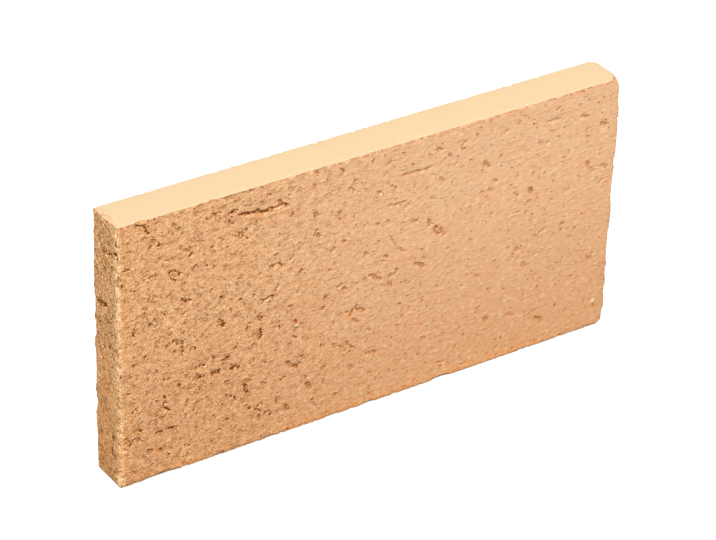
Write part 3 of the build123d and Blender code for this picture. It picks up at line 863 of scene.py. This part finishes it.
def clay_at_point(g):
    """The torn pattern at a point, where that point lies, and the masks that colour and bump share."""
    place = painted(g, "clay_place", "Vector")
    x, y, up = g.split(place)
    clay = torn_clay(g, place)
    along = x + length / 2 / MM
    inward = y + thickness / 2 / MM
    clay.update(place=place, up=up, along=along, inward=inward)
    clay["sharp"] = g.ramp(along, 20, 200, 1.0, 0.55)
    clay["on_end"] = g.ramp(painted(g, "cut_end"), 0.3, 0.8)
    clay["on_edge"] = g.ramp(painted(g, "die_skin") * 1.6 + clay["grit"] * 1.2, 1.75, 1.9)
    clay["grainy"] = g.most(clay["keen"], clay["on_end"] * g.ramp(up, 30, 80, 0.9, 1.9))

    near_arris = g.ramp(along + inward, 1.0, 8.0, 1.0, 0.0)
    share = 0.35 + near_arris * 0.5
    speck = nearest_speck(g, g.sway(place, 1.0, 46.0, 0.3), GRAIN_CELL, share, GRAIN_RADII, 5)
    clay["grain"] = g.ramp(speck, 0.0, 0.4)
    clay["near_arris"] = near_arris
    clay["pale_grain"] = spots(g, place, 54.0, PALE_GRAINS)

    from_tear = painted(g, "from_tear") + clay["ragged"] * 1.5
    tear = g.ramp(from_tear, 0.2, 2.9 - 1.4 * clay["keen"], 1.0, 0.0)
    deep = g.ramp(painted(g, "tear_depth"), 0.3, 1.0, 0.3, 0.8)
    clay["from_tear"] = from_tear
    clay["tear"] = tear * g.most(clay["keen"] * 1.2, deep)
    return clay


print("material readings ready")

# %% [markdown]
# The colours lie in layers. First the body, paler to the right and deeper low down. Then dark and
# pale flecks under a millimetre, where the dark ones are partly painted shade in the hollows, the
# pale grains and the broken clay of the left arris. Then orange round the pits, partly painted warm
# shade on their flanks, the stains, freckles and the brown of the pits, which is partly painted
# shade, with a dark line under the upper arris. The skin of the long edges comes last, chipped near
# the left end.

# %% Body and flecks
def body_layers(g, clay):
    """The clay itself, and the deeper colour of the ends."""
    place, along, up = clay["place"], clay["along"], clay["up"]
    cloud = g.noise(place, 38.0, 20.0)
    low_down = g.ramp(up + g.noise(place, 20.0, 22.0) * 40 - 20, 0, 105, 0.7, 0.0)
    rim = g.most(g.ramp(along, 1.5, 9.0, 0.6, 0.0), g.ramp(up, 1.0, 6.0, 0.7, 0.0))
    pinkish = g.ramp(g.noise(place, 9.0, 24.0), 0.54, 0.68, 0.0, 0.35)
    end_colour = blend_colour(g, g.ramp(up, 0, 110), END_DEEP, END)
    return [
        (g.ramp(along + cloud * 80 - 40, 0, 160), BODY_PALE),
        (low_down, BODY_DEEP),
        (rim * g.ramp(cloud, 0.3, 0.6), BODY_ORANGE),
        (pinkish, BODY_PINK),
        (clay["on_end"], end_colour)]


def fleck_layers(g, clay):
    """Dark flecks, partly painted shade in hollows, pale flecks, pale grains, broken clay of the left
    arris.
    """
    crumb, swell, keen, grainy = clay["crumb"], clay["swell"], clay["keen"], clay["grainy"]
    # dark flecks sit in the low crumbs, grit and swell and the deep lumps: partly clay specks, partly
    # painted shade
    dark = g.ramp(crumb, 0.49, 0.33) * grainy * 0.55 + g.ramp(clay["grit"], 0.46, 0.3) * keen * 0.2
    dark = dark + g.ramp(clay["lumps"], 0.55, 0.8) * clay["sharp"] * 0.05
    dark = dark + g.ramp(swell, 0.48, 0.25) * 0.15
    pale = g.ramp(crumb, 0.52, 0.68) * grainy * 0.5 + g.ramp(swell, 0.55, 0.8) * 0.3
    broken = g.ramp(clay["along"] + clay["inward"] * 0.6, 0.8, 4.0, 1.0, 0.0)
    broken = broken * g.ramp(g.noise(clay["place"], 1.2, 55.0), 0.46, 0.56)
    return [
        (g.math("MINIMUM", dark, 1.0), DARK_FLECK_AND_HOLLOW_SHADE),
        (g.math("MINIMUM", pale, 1.0), FLECK_PALE),
        (clay["grain"] * (0.4 * keen + clay["near_arris"] * 0.5), GRAIN),
        (broken * 0.7, BROKEN)]


print("body and flecks ready")

# %% Pits, stains and skin
# size of a cell, share of the cells that hold a freckle, and range of the radius, in millimetres
FRECKLES = (3.0, 0.8, (0.35, 0.8))


def pit_layers(g, clay):
    """Orange and painted shade round pits, stains, freckles, the line under the arris, pits, single pale
    grains.
    """
    place, keen, on_end = clay["place"], clay["keen"], clay["on_end"]
    # orange round the pits and tears: partly the clay's colour, partly painted warm shade on their flanks
    orange_and_flank_shade_mask = g.most(g.ramp(clay["pull"], -0.9, 0.2), g.ramp(clay["from_tear"], 0.8, 3.0, 1.0, 0.0))
    orange_and_flank_shade_mask = orange_and_flank_shade_mask * g.ramp(keen, 0.0, 1.0, 0.2, 0.3) * (1 - on_end * 0.4)
    stains = [(spots(g, place, seed, where) * share, over) for seed, where, share, over in STAINS]
    freckle = nearest_speck(g, clay["bent"], *FRECKLES, 6) + clay["ragged"] * 0.5
    freckle = g.ramp(freckle, -0.1, 0.8) * g.ramp(keen, 0.2, 1.0, 0.7, 0.2) * (1 - on_end)
    under_arris = g.ramp(clay["up"], 121.8, 123.2) * g.ramp(g.noise(place, 3.0, 56.0), 0.42, 0.55) * 0.35
    # pits, tears and cracks take the pit colour: partly their brown, partly painted shade
    pit_brown_and_shade = g.most(clay["tear"], clay["pit"], clay["crack"] * 0.7) * clay["sharp"]
    return [
        (orange_and_flank_shade_mask, ORANGE_AND_FLANK_SHADE),
        *stains,
        (freckle, PIT),
        (under_arris, PIT),
        (g.math("MINIMUM", pit_brown_and_shade, 1.0), PIT),
        (clay["pale_grain"] * 0.6, GRAIN)]


def skin_layers(g, clay):
    """The skin of the long edges, and where it has chipped off near the left end."""
    place, on_edge = clay["place"], clay["on_edge"]
    chipped = g.ramp(clay["along"] + g.noise(place, 3.0, 57.0) * 8, 4.5, 7.5, 1.0, 0.0) * on_edge
    chipped = chipped * g.ramp(g.noise(place, 1.4, 58.0), 0.42, 0.56) * 0.6
    return [(on_edge, SKIN), (chipped, PINK)]


print("pits, stains and skin ready")

# %% Clay material
def fine_relief(g, clay):
    """What is too fine for geometry, as the height of a bump in millimetres."""
    rough = g.most(clay["keen"], clay["on_end"])
    torn = 1 - clay["on_edge"]
    raised = clay["grit"] * 0.25 + clay["lip"] * 0.25 - clay["crack"] * 0.15 + clay["grain"] * 0.2
    raised = raised * rough
    raised = raised + clay["swell"] * 0.2 + clay["drag"] * 0.1 - clay["pit"] * 0.3 * clay["sharp"]
    raised = raised + clay["crumb"] * 0.25 * clay["grainy"]
    raised = raised * torn + clay["on_edge"] * g.noise(clay["place"], 0.8, 47.0) * 0.05
    return raised - clay["tear"] * 0.4 * torn + clay["pale_grain"] * 0.3


def clay_material():
    """The material of the whole brick."""
    material = bpy.data.materials["fired clay"]
    material.use_nodes = True
    g = Graph(material.node_tree)
    shader = material.node_tree.nodes["Principled BSDF"]
    clay = clay_at_point(g)
    colour = BODY
    for layers_of in (body_layers, fleck_layers, pit_layers, skin_layers):
        colour = paint(g, colour, layers_of(g, clay))
    g.feed(shader.inputs["Base Color"], colour)
    g.feed(shader.inputs["Roughness"], 0.82 + clay["grit"] * 0.15)
    bump = {"Height": fine_relief(g, clay), "Distance": MM, "Strength": 1.0}
    g.feed(shader.inputs["Normal"], g.add("ShaderNodeBump", None, bump))
    shader.inputs["Specular IOR Level"].default_value = 0.0
    return material


print("clay material of", len(clay_material().node_tree.nodes), "nodes")

# %% [markdown]
# ## Floor and light
# A soft lamp high on the left of the camera rakes over the front, which shows the relief. A weaker
# lamp low behind the brick reaches the sides that face away, and the warm room fills the shadows.
# The floor looks white to the camera by a little light of its own, which the brick doesn't
# receive, and it still takes the brick's shadow.

# %% Lamps
# the way from the brick to the lamp, its spread in degrees and its strength
KEY_LAMP = ((-0.40, -0.62, 0.88), 16, 3.6)
FILL_LAMP = ((0.45, 0.85, 0.12), 40, 1.8)


def soft_lamp(name, towards, spread, strength):
    """A lamp so far off that it lights everything evenly. towards points from the object to it."""
    data = bpy.data.lights.new(name, "SUN")
    data.angle = math.radians(spread)
    data.energy = strength
    lamp = bpy.data.objects.new(name, data)
    lamp.location = towards
    lamp.rotation_euler = (-Vector(towards)).to_track_quat("-Z", "Y").to_euler()
    bpy.context.scene.collection.objects.link(lamp)


soft_lamp("key", *KEY_LAMP)
soft_lamp("fill", *FILL_LAMP)
print("two lamps")

# %% Floor
FLOOR_REACH = 4.0
WHITE = (1, 1, 1, 1)
PAPER_SEEN = (0.5, 0.5, 0.5, 1)
PAPER_LIT = (0.4, 0.4, 0.4, 1)
PAPER_GLOW = 0.6


def seen_directly(g):
    """1 for what the camera sees directly, in a mirror or through glass, and 0 for light on its way."""
    path = g.add("ShaderNodeLightPath", None, None, "Is Camera Ray")
    return g.most(path, path.out("Is Glossy Ray"), path.out("Is Transmission Ray"))


def white_paper():
    """The floor's material: a matte paper that looks white and keeps a shadow."""
    paper = bpy.data.materials.new("white paper")
    paper.use_nodes = True
    g = Graph(paper.node_tree)
    seen = paper.node_tree.nodes["Principled BSDF"]
    seen.inputs["Base Color"].default_value = PAPER_SEEN
    seen.inputs["Roughness"].default_value = 1.0
    seen.inputs["Specular IOR Level"].default_value = 0.0
    seen.inputs["Emission Color"].default_value = WHITE
    seen.inputs["Emission Strength"].default_value = PAPER_GLOW
    lit = g.add("ShaderNodeBsdfDiffuse", None, {"Color": PAPER_LIT})
    mixed = {"Fac": seen_directly(g), 1: lit, 2: Wire(g, seen.outputs[0])}
    mixed = g.add("ShaderNodeMixShader", None, mixed)
    g.feed(paper.node_tree.nodes["Material Output"].inputs["Surface"], mixed)
    return paper


def floor():
    """A sheet of white paper under the brick."""
    mesh = bpy.data.meshes.new("floor")
    corners = [(-FLOOR_REACH, -FLOOR_REACH, 0), (FLOOR_REACH, -FLOOR_REACH, 0)]
    corners += [(FLOOR_REACH, FLOOR_REACH, 0), (-FLOOR_REACH, FLOOR_REACH, 0)]
    mesh.from_pydata(corners, [], [(0, 1, 2, 3)])
    mesh.materials.append(white_paper())
    blank_mesh_object("floor", mesh)


floor()
print("floor", 2 * FLOOR_REACH, "m wide")

# %% Room
WARM_ROOM = (1.05, 0.84, 0.6, 1)
ROOM_STRENGTH = 0.3


def warm_room():
    """The world: white to the camera, and a weak warm light on the brick."""
    world = bpy.data.worlds.new("room")
    bpy.context.scene.world = world
    world.use_nodes = True
    g = Graph(world.node_tree)
    sky = world.node_tree.nodes["Background"]
    g.feed(sky.inputs["Color"], blend_colour(g, seen_directly(g), WARM_ROOM, WHITE))
    g.feed(sky.inputs["Strength"], seen_directly(g) * (1 - ROOM_STRENGTH) + ROOM_STRENGTH)


warm_room()
bpy.context.scene.view_settings.view_transform = "Standard"
print("room ready")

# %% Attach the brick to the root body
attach(brick, "root")
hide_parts("clay_brick")
